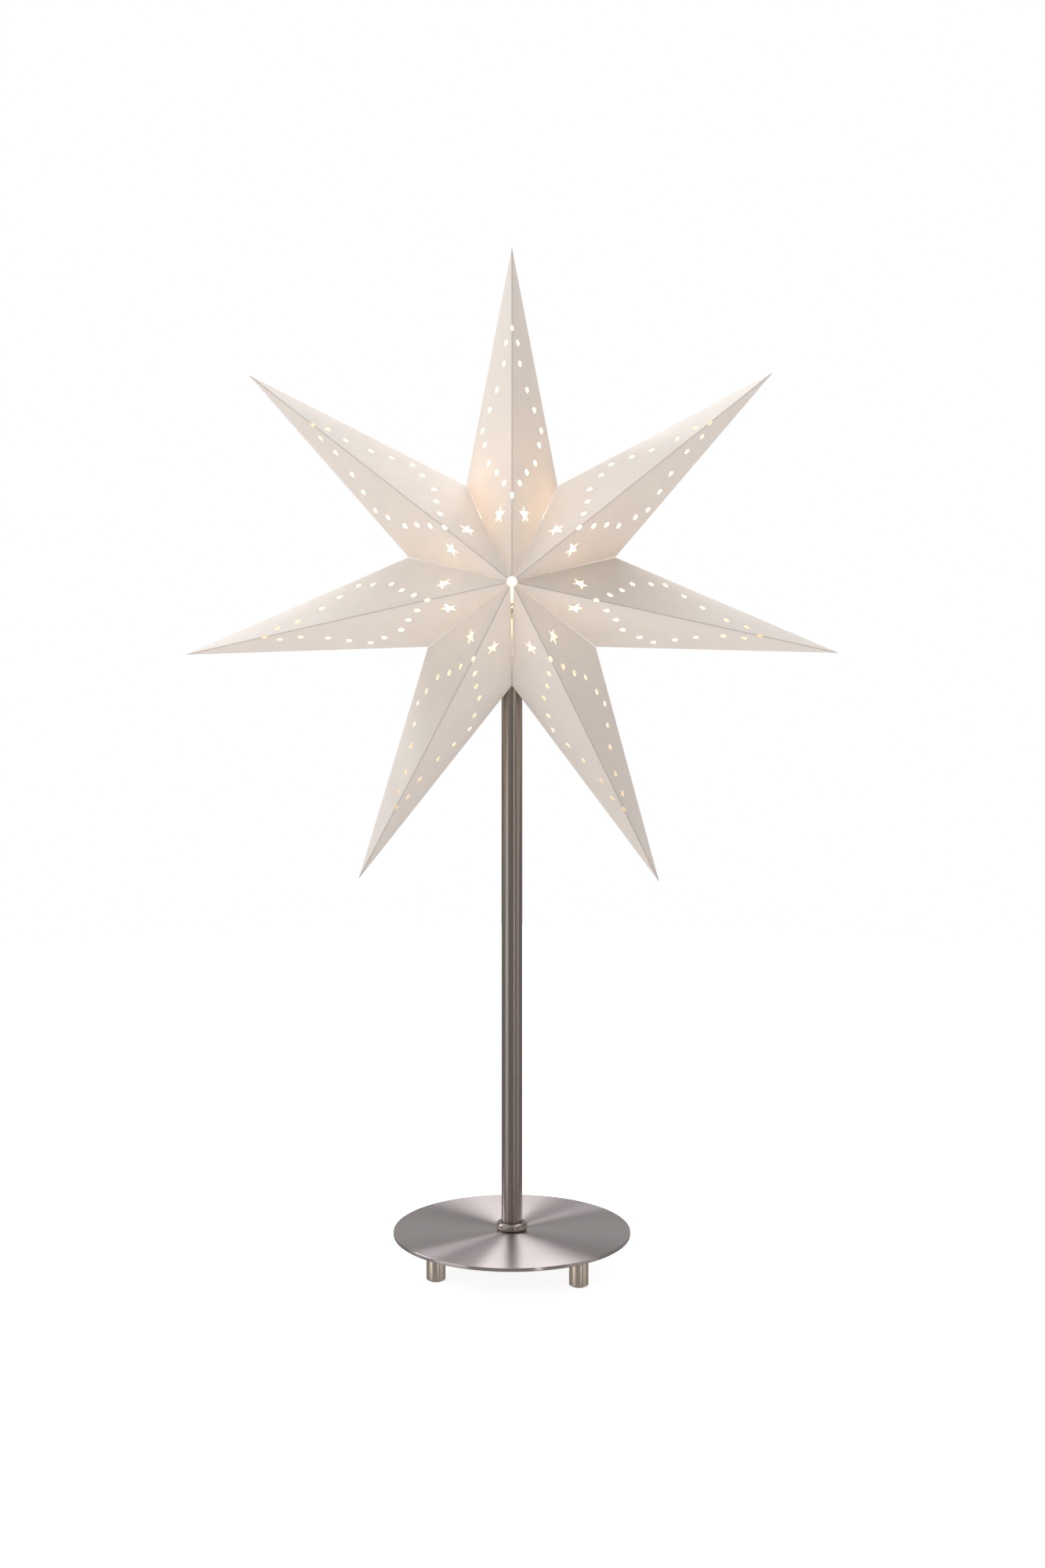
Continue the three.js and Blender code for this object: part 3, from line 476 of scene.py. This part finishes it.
punches = makePunches()
paperRoom = clearanceCutter()
slit = slitCutter()
for i in range(star["count"]):
    seamSide = {0: -1, star["count"] - 1: 1}.get(i, 0)
    point = foldedPoint(f"paper_point_{i + 1}", seamSide)
    point.data.materials.append(paperCard)
    point.data.materials.append(paintedGlowCard)
    applyModifier(point, "SOLIDIFY", thickness=star["paper"], offset=-1, use_even_offset=True,
                  use_rim=True,
                  material_offset=1)
    applyModifier(point, "BEVEL", width=star["rounding"], segments=2, limit_method="ANGLE",
                  angle_limit=math.radians(35), use_clamp_overlap=True)
    applyModifier(point, "BOOLEAN", operation="DIFFERENCE", solver="EXACT", object=punches)
    sheet = point.data.uv_layers.get("sheet") or point.data.uv_layers.new(name="sheet")
    for loop in point.data.loops:
        place = point.data.vertices[loop.vertex_index].co
        sheet.data[loop.index].uv = (place.x, place.y)
    for vertex in point.data.vertices:
        vertex.co.y += max(0, vertex.co.x - valleyX) * math.tan(math.radians(star["lean"][i]))
    point.data.transform(starPlace(i))
    cutters = [paperRoom, slit] if seamSide else [paperRoom]
    for cutter in cutters:
        applyModifier(point, "BOOLEAN", operation="DIFFERENCE", solver="EXACT", object=cutter)
    editAll(point)
    bpy.ops.mesh.remove_doubles(threshold=2e-6)
    bpy.ops.object.mode_set(mode="OBJECT")
    activate(point)
    bpy.ops.object.shade_smooth_by_angle(angle=math.radians(20))
    putOn(point, paperCard, "star", "paper_white", f"star_point_{i + 1}")
for cutter in (punches, paperRoom, slit):
    bpy.data.objects.remove(cutter)
print("the paper star is folded")


def turnedSteel(name, hexColour, roughness, lines, anisotropy, onFace):
    # Satin stainless steel, brushed round its axis on a lathe: fine rings, and highlights that
    # spread across them into wedges on a face and long bands on a tube. Lines are drawn coarser
    # than the real grit leaves.
    material = startMaterial(name)
    place = addNode(material, "ShaderNodeTexCoord")
    parts = addNode(material, "ShaderNodeSeparateXYZ", {}, {0: place.outputs["Object"]})
    if onFace:  # rings on a flat face are told apart by their radius
        square = [addNode(material, "ShaderNodeMath", {"operation": "MULTIPLY"},
                          {0: parts.outputs[axis], 1: parts.outputs[axis]}) for axis in ("X", "Y")]
        total = addNode(material, "ShaderNodeMath", {"operation": "ADD"},
                        {0: square[0].outputs[0], 1: square[1].outputs[0]})
        rings = addNode(material, "ShaderNodeMath", {"operation": "SQRT"},
                        {0: total.outputs[0]}).outputs[0]
    else:
        rings = parts.outputs["Z"]
    scaled = addNode(material, "ShaderNodeMath", {"operation": "MULTIPLY", 1: 1 / lines},
                     {0: rings})
    fine = addNode(material, "ShaderNodeTexNoise",
                   {"noise_dimensions": "1D", "Scale": 1.0, "Detail": 2.0, "Roughness": 0.5},
                   {"W": scaled.outputs[0]})
    patches = addNode(material, "ShaderNodeTexNoise", {"Scale": 1 / (25 * mm), "Detail": 2.0},
                      {"Vector": place.outputs["Object"]})
    tone = addNode(material, "ShaderNodeMapRange",
                   {"From Min": 0.25, "From Max": 0.75, "To Min": 0.975, "To Max": 1.02},
                   {"Value": fine.outputs[0]})
    colour = addNode(material, "ShaderNodeMix",
                     {"data_type": "RGBA", "blend_type": "MULTIPLY", 0: 1.0, 6: linear(hexColour)},
                     {7: tone.outputs[0]})
    both = addNode(material, "ShaderNodeMath", {"operation": "ADD"},
                   {0: fine.outputs[0], 1: patches.outputs[0]})
    rough = addNode(material, "ShaderNodeMapRange",
                    {"From Min": 0.6, "From Max": 1.4, "To Min": roughness - 0.02,
                     "To Max": roughness + 0.02},
                    {"Value": both.outputs[0]})
    bump = addNode(material, "ShaderNodeBump", {"Strength": 0.004, "Distance": 0.01 * mm},
                   {"Height": fine.outputs[0]})
    tangent = addNode(material, "ShaderNodeTangent", {"direction_type": "RADIAL", "axis": "Z"})
    shader = addNode(material, "ShaderNodeBsdfPrincipled",
                     {"Metallic": 1.0, "Anisotropic": anisotropy, "Anisotropic Rotation": 0.25},
                     {"Base Color": colour.outputs[2], "Roughness": rough.outputs[0],
                      "Normal": bump.outputs[0], "Tangent": tangent.outputs[0]})
    return finishMaterial(material, shader)


def plainMaterial(name, hexColour, roughness, metallic=0.0, grain=0.4 * mm, bumpDepth=0.02 * mm,
                  extra=None):
    # an even finish with the slight mottling and grain that its surface has
    material = startMaterial(name)
    place = addNode(material, "ShaderNodeTexCoord")
    noise = addNode(material, "ShaderNodeTexNoise", {"Scale": 1 / grain, "Detail": 3.0},
                    {"Vector": place.outputs["Object"]})
    tone = addNode(material, "ShaderNodeMapRange",
                   {"From Min": 0.3, "From Max": 0.7, "To Min": 0.88, "To Max": 1.06},
                   {"Value": noise.outputs[0]})
    colour = addNode(material, "ShaderNodeMix",
                     {"data_type": "RGBA", "blend_type": "MULTIPLY", 0: 1.0, 6: linear(hexColour)},
                     {7: tone.outputs[0]})
    rough = addNode(material, "ShaderNodeMapRange",
                    {"From Min": 0.3, "From Max": 0.7, "To Min": roughness - 0.05,
                     "To Max": roughness + 0.05},
                    {"Value": noise.outputs[0]})
    bump = addNode(material, "ShaderNodeBump", {"Strength": 0.3, "Distance": bumpDepth},
                   {"Height": noise.outputs[0]})
    settings = {"Metallic": metallic}
    settings.update(extra or {})
    shader = addNode(material, "ShaderNodeBsdfPrincipled", settings,
                     {"Base Color": colour.outputs[2], "Roughness": rough.outputs[0],
                      "Normal": bump.outputs[0]})
    return finishMaterial(material, shader)


tubeSteel = turnedSteel("satin steel tube", "A39A93", 0.30, 0.9 * mm, 0.8, False)
# bar stock turned to length, a little brighter and yellower than the brushed tube
footSteel = turnedSteel("turned steel rod", "E4D6C8", 0.27, 0.25 * mm, 0.7, False)
plateSteel = turnedSteel("turned steel plate", "C6BEBF", 0.31, 0.4 * mm, 1.0, True)
# stamped and nickel plated: smooth, faintly yellow
nickelSteel = plainMaterial("nickel plated steel", "A9A49C", 0.32, 1.0)
# cut from bar or wire and zinc plated: greyer and duller
zincSteel = plainMaterial("zinc plated steel", "9FA2A2", 0.38, 1.0)
# moulded plastics: an even satin skin with hardly any grain
phenolic = plainMaterial("moulded black phenolic", "1B1A19", 0.42)
whitePlastic = plainMaterial("moulded white polyamide", "ECE8E0", 0.38)
# pressed rubber, dull, with the grain of its mould
rubber = plainMaterial("moulded rubber", "262524", 0.85)
# unglazed and fired, chalky white
ceramic = plainMaterial("fired steatite ceramic", "E9E4DA", 0.45)
# rolled strip, cut and bent, slightly darkened
brass = plainMaterial("rolled brass", "B8954A", 0.3, 1.0)
# poured glass, glossy black
insulator = plainMaterial("black vitrite glass", "141414", 0.18)
# drawn wire that glows warm white
hotWire = plainMaterial("hot tungsten wire", "6F6A66", 0.4, 0.0,
                        extra={"Emission Color": linear("FFC070"), "Emission Strength": 60.0})
# blown thin and left clear, with faint waves
clearGlass = plainMaterial("clear blown glass", "FFFFFF", 0.06, 0.0,
                           extra={"Transmission Weight": 1.0, "IOR": 1.5})

# the stand: radii, heights and roundings in mm
stand = {"plate": 62.2, "edge": 0.35, "hole": 5.15, "stud": 2.0, "studHead": 0.5,
         "tube": 5.5, "bore": 3.5, "thread": 4.85, "tubeEdge": 0.2,
         "collar": 8.4, "collarHeight": 4.4, "collarBore": 5.65, "collarSteps": 12,
         "foot": 5.0, "footEdge": 0.3, "padSeat": 4.2, "padSeatDepth": 1.0, "studBore": 2.3,
         "studBoreDepth": 8.3, "pad": 3.9, "padEdge": 0.3}
plateLow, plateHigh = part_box("base_plate")
plateTop = plateHigh.z
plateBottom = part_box("foot_1")[1].z
plate = turnedPiece("steel_plate", [
    (stand["hole"] * mm, plateBottom), (stand["plate"] * mm, plateBottom),
    (stand["plate"] * mm, plateTop),
    (stand["hole"] * mm, plateTop), (stand["hole"] * mm, plateBottom)], steps=256,
    rounding=stand["edge"] * mm)
feet = [(sum(c.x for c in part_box(f"foot_{n}")) / 2,
         sum(c.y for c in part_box(f"foot_{n}")) / 2) for n in (1, 2, 3)]
studs = [turnedPiece(f"stud{n}", [(0, plateLow.z), (stand["stud"] * mm, plateLow.z),
                                  (stand["stud"] * mm, plateBottom + stand["studHead"] * mm),
                                  (0, plateBottom + stand["studHead"] * mm)],
                     steps=24, centre=place) for n, place in enumerate(feet)]
for stud in studs:
    applyModifier(plate, "BOOLEAN", operation="UNION", solver="EXACT", object=stud)
    bpy.data.objects.remove(stud)
activate(plate)
bpy.ops.object.shade_smooth_by_angle(angle=math.radians(30))
putOn(plate, plateSteel, "stand", "steel_brushed", "base_plate")

tubeLow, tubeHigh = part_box("stem_tube")
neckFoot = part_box("holder_cap")[0].z
tube = turnedPiece("steel_tube", [
    (stand["bore"] * mm, tubeLow.z), (stand["thread"] * mm, tubeLow.z),
    (stand["thread"] * mm, plateTop),
    (stand["tube"] * mm, plateTop), (stand["tube"] * mm, neckFoot),
    (stand["thread"] * mm, neckFoot),
    (stand["thread"] * mm, tubeHigh.z), (stand["bore"] * mm, tubeHigh.z),
    (stand["bore"] * mm, tubeLow.z)],
    steps=96, rounding=stand["tubeEdge"] * mm)
putOn(tube, tubeSteel, "stand", "steel_brushed", "stem_tube")

bulge = stand["collarHeight"] / 2
collarProfile = [(stand["collarBore"] * mm, plateTop)]
for step in range(stand["collarSteps"] + 1):
    angle = math.pi * (step / stand["collarSteps"] - 0.5)
    collarProfile.append(((stand["collar"] - bulge + bulge * math.cos(angle)) * mm,
                          plateTop + (bulge + bulge * math.sin(angle)) * mm))
collarProfile += [(stand["collarBore"] * mm, plateTop + 2 * bulge * mm), collarProfile[0]]
collar = turnedPiece("steel_collar", collarProfile, steps=96)
putOn(collar, tubeSteel, "stand", "steel_brushed", "stem_collar")

for n, place in enumerate(feet, 1):
    low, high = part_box(f"foot_{n}")
    foot = turnedPiece(f"steel_foot_{n}", [
        (0, low.z + stand["padSeatDepth"] * mm),
        (stand["padSeat"] * mm, low.z + stand["padSeatDepth"] * mm),
        (stand["padSeat"] * mm, low.z), (stand["foot"] * mm, low.z), (stand["foot"] * mm, high.z),
        (stand["studBore"] * mm, high.z),
        (stand["studBore"] * mm, high.z - stand["studBoreDepth"] * mm),
        (0, high.z - stand["studBoreDepth"] * mm)], steps=64, centre=place,
        rounding=stand["footEdge"] * mm)
    putOn(foot, footSteel, "stand", "steel_brushed", f"foot_{n}")
    low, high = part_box(f"foot_pad_{n}")
    pad = turnedPiece(f"rubber_pad_{n}", [
        (0, low.z), (stand["pad"] * mm, low.z), (stand["pad"] * mm, high.z), (0, high.z)],
        steps=48, centre=place, rounding=stand["padEdge"] * mm)
    putOn(pad, rubber, "stand", "rubber_dark", f"foot_pad_{n}")
print("the stand is turned")


def bentWire(name, points, radius, closed=False, resolution=6):
    deselect()
    bpy.ops.curve.primitive_nurbs_path_add(location=(0, 0, 0))
    piece = nameIt(name)
    spline = piece.data.splines[0]
    spline.points.add(len(points) - len(spline.points))
    for point, place in zip(spline.points, points):
        point.co = (*place, 1)
    spline.use_cyclic_u = closed
    spline.use_endpoint_u = not closed
    spline.order_u = 3
    spline.resolution_u = resolution
    piece.data.bevel_depth = radius
    piece.data.bevel_resolution = 3
    piece.data.use_fill_caps = True
    bpy.ops.object.convert(target="MESH")
    piece = nameIt(name)
    bpy.ops.object.shade_smooth()
    return piece


def waved(low, high, crest, depth, pitch, steps=8):
    # the outline of a rolled thread between two heights
    count = int((high - low) / pitch * steps)
    return [((crest - depth / 2 + depth / 2 * math.cos(2 * math.pi * n / steps)) * mm,
             low + n * pitch / steps)
            for n in range(1, count)]


# the lampholder: radii, heights and depths in mm
holder = {"threadHole": 5.15, "neck": 7.5, "neckHeight": 7.0, "dome": 4.0, "radius": 14.0,
          "wall": 1.6,
          "bore": 11.2, "thread": 12.9, "threadDepth": 0.5, "threadPitch": 2.0, "flange": 16.5,
          "flangeDrop": 3.3, "flangeThickness": 2.0, "lap": 3.0, "lapGap": 0.3, "floor": 0.6,
          "ringBore": 13.2, "grub": 1.7, "grubHeight": 1.7, "block": 10.8, "blockBore": 7.9,
          "blockFloor": 9.0}
capLow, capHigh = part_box("holder_cap")
ringLow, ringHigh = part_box("shade_ring")
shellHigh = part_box("holder_shell")[1].z
floorLevel = capLow.z + (holder["neckHeight"] + holder["floor"]) * mm
domeFoot = capLow.z + holder["neckHeight"] * mm
profile = [(holder["threadHole"] * mm, capLow.z), (holder["neck"] * mm, capLow.z),
           (holder["neck"] * mm, domeFoot)]
for step in range(1, 9):
    angle = math.pi / 2 * step / 8
    profile.append(((holder["neck"] + (holder["radius"] - holder["neck"]) * math.sin(angle)) * mm,
                    domeFoot + holder["dome"] * (1 - math.cos(angle)) * mm))
innerWall = (holder["radius"] - holder["wall"]) * mm
profile += [(holder["radius"] * mm, capHigh.z), (innerWall, capHigh.z), (innerWall, floorLevel),
            (holder["threadHole"] * mm, floorLevel), (holder["threadHole"] * mm, capLow.z)]
cap = turnedPiece("holder_casing", profile, steps=72)
deselect()
bpy.ops.mesh.primitive_cylinder_add(vertices=24, radius=holder["grub"] * mm, depth=10 * mm,
                                    location=(7 * mm, 0, capLow.z + holder["grubHeight"] * mm),
                                    rotation=(0, math.pi / 2, 0))
drill = nameIt("drill")
applyModifier(cap, "BOOLEAN", operation="DIFFERENCE", solver="EXACT", object=drill)
bpy.data.objects.remove(drill)
putOn(cap, whitePlastic, "stand", "plastic_white", "holder_cap")

threadFoot = ringLow.z - holder["flangeDrop"] * mm
flangeFoot = threadFoot - holder["flangeThickness"] * mm
lapFoot = capHigh.z - holder["lap"] * mm
lapRadius = (holder["radius"] - holder["wall"] - holder["lapGap"]) * mm
shell = turnedPiece("holder_sleeve", [
    (holder["bore"] * mm, lapFoot), (lapRadius, lapFoot),
    (lapRadius, capHigh.z), (holder["radius"] * mm, capHigh.z),
    (holder["radius"] * mm, flangeFoot), (holder["flange"] * mm, flangeFoot),
    (holder["flange"] * mm, threadFoot), (holder["thread"] * mm, threadFoot),
    *waved(threadFoot, shellHigh - 0.6 * mm, holder["thread"], holder["threadDepth"],
           holder["threadPitch"] * mm),
    ((holder["thread"] - 0.4) * mm, shellHigh), (holder["bore"] * mm, shellHigh),
    (holder["bore"] * mm, lapFoot)], steps=72)
putOn(shell, whitePlastic, "stand", "plastic_white", "holder_shell")

ringRadius = ringHigh.x
ringBore = holder["ringBore"] * mm
ring = turnedPiece("ribbed_ring", [
    (ringBore, ringLow.z), (ringRadius - 1 * mm, ringLow.z),
    (ringRadius - 0.4 * mm, ringLow.z + 0.25 * mm),
    (ringRadius, ringLow.z + 1 * mm), (ringRadius, ringLow.z + 2.4 * mm),
    (ringRadius - 0.5 * mm, ringLow.z + 3.2 * mm), (ringBore + 2.6 * mm, ringHigh.z - 0.5 * mm),
    (ringBore + 2.0 * mm, ringHigh.z), (ringBore, ringHigh.z), (ringBore, ringLow.z)], steps=144)
# every third pair of grip lines is drawn in for the fingers
selectWhere(ring, "verts", lambda v: v.co.xy.length > ringRadius - 0.6 * mm
            and round(math.atan2(v.co.y, v.co.x) / (2 * math.pi / 144)) % 4 == 0)
bpy.ops.transform.resize(value=(0.965, 0.965, 1), center_override=(0, 0, 0))
bpy.ops.object.mode_set(mode="OBJECT")
putOn(ring, whitePlastic, "stand", "plastic_white", "shade_ring")

blockLow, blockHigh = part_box("contact_block")
block = turnedPiece("ceramic_insert", [
    (0, blockLow.z), (holder["block"] * mm, blockLow.z), (holder["block"] * mm, blockHigh.z),
    (holder["blockBore"] * mm, blockHigh.z),
    (holder["blockBore"] * mm, blockLow.z + holder["blockFloor"] * mm),
    (0, blockLow.z + holder["blockFloor"] * mm)], steps=64, rounding=0.3 * mm)
putOn(block, ceramic, "stand", "ceramic_white", "contact_block")

# the bulb: radii and depths in mm
bulb = {"radius": 14.0, "neck": 6.0, "spread": 0.9, "wall": 0.8, "cap": 6.9, "capInner": 6.3,
        "threadDepth": 0.5, "pitch": 2.82, "tip": 2.2}
capFoot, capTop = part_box("bulb_cap")[0].z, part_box("bulb_cap")[1].z
glassFoot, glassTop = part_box("bulb_glass")[0].z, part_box("bulb_glass")[1].z
crown = glassTop - bulb["radius"] * mm


def envelope(wall):
    outline = [((bulb["neck"] - wall) * mm, glassFoot),
               ((bulb["neck"] - wall) * mm, capTop + 3 * mm),
               ((bulb["neck"] + 0.3 - wall) * mm, capTop + 5.6 * mm),
               ((bulb["neck"] + bulb["spread"] - wall) * mm, capTop + 8 * mm)]
    for step in range(25):
        angle = math.pi * (-0.25 + 0.75 * step / 24)
        outline.append((max(0.0, (bulb["radius"] - wall) * math.cos(angle)) * mm,
                        crown + (bulb["radius"] - wall) * math.sin(angle) * mm))
    return outline


glass = turnedPiece("blown_bulb", [*envelope(0), *envelope(bulb["wall"])[::-1], envelope(0)[0]],
                    steps=72, smoothAngle=60)
putOn(glass, clearGlass, "bulb", "glass_clear", "bulb_glass")
glass.visible_shadow = False

screw = turnedPiece("rolled_cap", [
    (bulb["capInner"] * mm, capFoot), ((bulb["cap"] - bulb["threadDepth"]) * mm, capFoot),
    *waved(capFoot + 0.6 * mm, capTop - 4.2 * mm, bulb["cap"], bulb["threadDepth"],
           bulb["pitch"] * mm),
    ((bulb["cap"] - 0.4) * mm, capTop - 4 * mm), ((bulb["cap"] - 0.4) * mm, capTop),
    (bulb["capInner"] * mm, capTop), (bulb["capInner"] * mm, capFoot)], steps=64)
putOn(screw, nickelSteel, "bulb", "steel_plain", "bulb_cap")

tipLow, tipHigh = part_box("bulb_tip")
tip = turnedPiece("solder_tip", [
    (0, tipLow.z), (1.1 * mm, tipLow.z + 0.1 * mm), (1.9 * mm, tipLow.z + 0.45 * mm),
    (bulb["tip"] * mm, tipLow.z + 0.9 * mm), (bulb["tip"] * mm, tipHigh.z), (0, tipHigh.z)],
    steps=40)
putOn(tip, nickelSteel, "bulb_contact", "steel_plain", "bulb_tip")
vitrite = turnedPiece("vitrite_button", [
    (0, tipHigh.z), (3.0 * mm, tipHigh.z), (4.4 * mm, tipHigh.z + 0.7 * mm), (6.3 * mm, capFoot),
    (0, capFoot)],
    steps=48)
putOn(vitrite, insulator, "bulb_contact", "glass_black", "bulb_insulator")

hoopLow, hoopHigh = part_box("star_hoop")
hoop = {"wire": 1.2, "ringRadius": 15.0, "halfWidth": 17.3, "bendHeight": 16.0}  # mm
wireRadius = hoop["wire"] * mm
hoopX = hoopHigh.x - wireRadius
ringLevel = hoopLow.z + wireRadius
halfWidth = hoop["halfWidth"] * mm
archLevel = hoopHigh.z - wireRadius - halfWidth
legs = []
for side in (1, -1):
    straight = ringHigh.z + hoop["bendHeight"] * mm
    legs.append([(side * hoop["ringRadius"] * mm, 0, ringLevel),
                 (side * (hoopX - 1.0 * mm), 0, ringLevel + 0.1 * mm),
                 (side * hoopX, -0.2 * mm, ringLevel + 1.6 * mm),
                 (side * hoopX, -1 * mm, ringHigh.z),
                 (side * halfWidth, starCentre.y, straight),
                 (side * halfWidth, starCentre.y, (straight + archLevel) / 2)])
arch = [(halfWidth * math.cos(math.pi * n / 12), starCentre.y,
         archLevel + halfWidth * math.sin(math.pi * n / 12))
        for n in range(13)]
bow = bentWire("hoop_bow", [*legs[0], *arch, *legs[1][::-1]], wireRadius)
deselect()
bpy.ops.mesh.primitive_torus_add(major_radius=hoop["ringRadius"] * mm, minor_radius=wireRadius,
                                 major_segments=72, minor_segments=14, location=(0, 0, ringLevel))
eye = nameIt("hoop_eye")
applyPlace(eye)
applyModifier(bow, "BOOLEAN", operation="UNION", solver="EXACT", object=eye)
bpy.data.objects.remove(eye)
activate(bow)
bpy.ops.object.shade_smooth_by_angle(angle=math.radians(40))
putOn(bow, zincSteel, "star", "steel_plain", "star_hoop")

under = {"clearance": 5.15,
         "washer": 9.0}  # mm: the nut's and the washer's bore, the washer's radius
nutLow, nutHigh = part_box("stem_nut")
deselect()
bpy.ops.mesh.primitive_cylinder_add(vertices=6, radius=nutHigh.x, depth=nutHigh.z - nutLow.z,
                                    location=(0, 0, (nutLow.z + nutHigh.z) / 2),
                                    rotation=(0, 0, math.pi / 6))
nut = nameIt("hex_nut")
applyPlace(nut)
bore = turnedPiece("bore", [(0, nutLow.z - mm), (under["clearance"] * mm, nutLow.z - mm),
                            (under["clearance"] * mm, nutHigh.z + mm),
                            (0, nutHigh.z + mm)], steps=48)
applyModifier(nut, "BOOLEAN", operation="DIFFERENCE", solver="EXACT", object=bore)
bpy.data.objects.remove(bore)
applyModifier(nut, "BEVEL", width=0.35 * mm, segments=2, limit_method="ANGLE",
              angle_limit=math.radians(40))
activate(nut)
bpy.ops.object.shade_smooth_by_angle(angle=math.radians(30))
putOn(nut, zincSteel, "stand", "steel_plain", "stem_nut")
washerLow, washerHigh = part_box("lock_washer")
washer = turnedPiece("flat_washer", [
    (under["clearance"] * mm, washerLow.z), (under["washer"] * mm, washerLow.z),
    (under["washer"] * mm, washerHigh.z), (under["clearance"] * mm, washerHigh.z),
    (under["clearance"] * mm, washerLow.z)], steps=72, rounding=0.15 * mm)
putOn(washer, zincSteel, "stand", "steel_plain", "lock_washer")
bushLow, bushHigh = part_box("cord_bush")
bush = turnedPiece("cord_grommet", [
    (2.7 * mm, bushLow.z), (4.85 * mm, bushLow.z), (4.85 * mm, bushLow.z + 1.4 * mm),
    (3.2 * mm, bushLow.z + 1.4 * mm), (3.2 * mm, bushHigh.z), (2.4 * mm, bushHigh.z),
    (2.4 * mm, bushLow.z + 0.5 * mm), (2.7 * mm, bushLow.z)], steps=48, rounding=0.12 * mm)
putOn(bush, phenolic, "stand", "plastic_black", "cord_bush")
print("the lampholder, bulb and fixings are in place")

# what keeps its shape as it is gets its real finish
carried = {
    "holder_grub_screw": zincSteel, "shell_contact": brass, "centre_contact": brass,
    "terminal_screw_1": brass, "terminal_screw_2": brass, "bulb_mount": clearGlass,
    "bulb_lead_1": nickelSteel, "bulb_lead_2": nickelSteel, "bulb_filament": hotWire,
    "seam_clip_1": zincSteel, "seam_clip_2": zincSteel,
}
for name, material in carried.items():
    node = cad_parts[name]
    node.data.materials.clear()
    node.data.materials.append(material)
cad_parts["bulb_mount"].visible_shadow = False

# the light of the bulb: a small warm source where its filament is
lampGlow = {"power": 0.95, "radius": 9 * mm, "belowCrown": 26 * mm, "colour": "FFE3BE"}
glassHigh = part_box("bulb_glass")[1]
bpy.ops.object.light_add(type="POINT", location=(0, 0, glassHigh.z - lampGlow["belowCrown"]))
glow = bpy.context.object
glow.name = "bulbGlow"
glow.data.energy = lampGlow["power"]
glow.data.shadow_soft_size = lampGlow["radius"]
glow.data.color = linear(lampGlow["colour"])[:3]
glow.visible_camera = False
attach(glow, "bulb")
print("the bulb is lit")
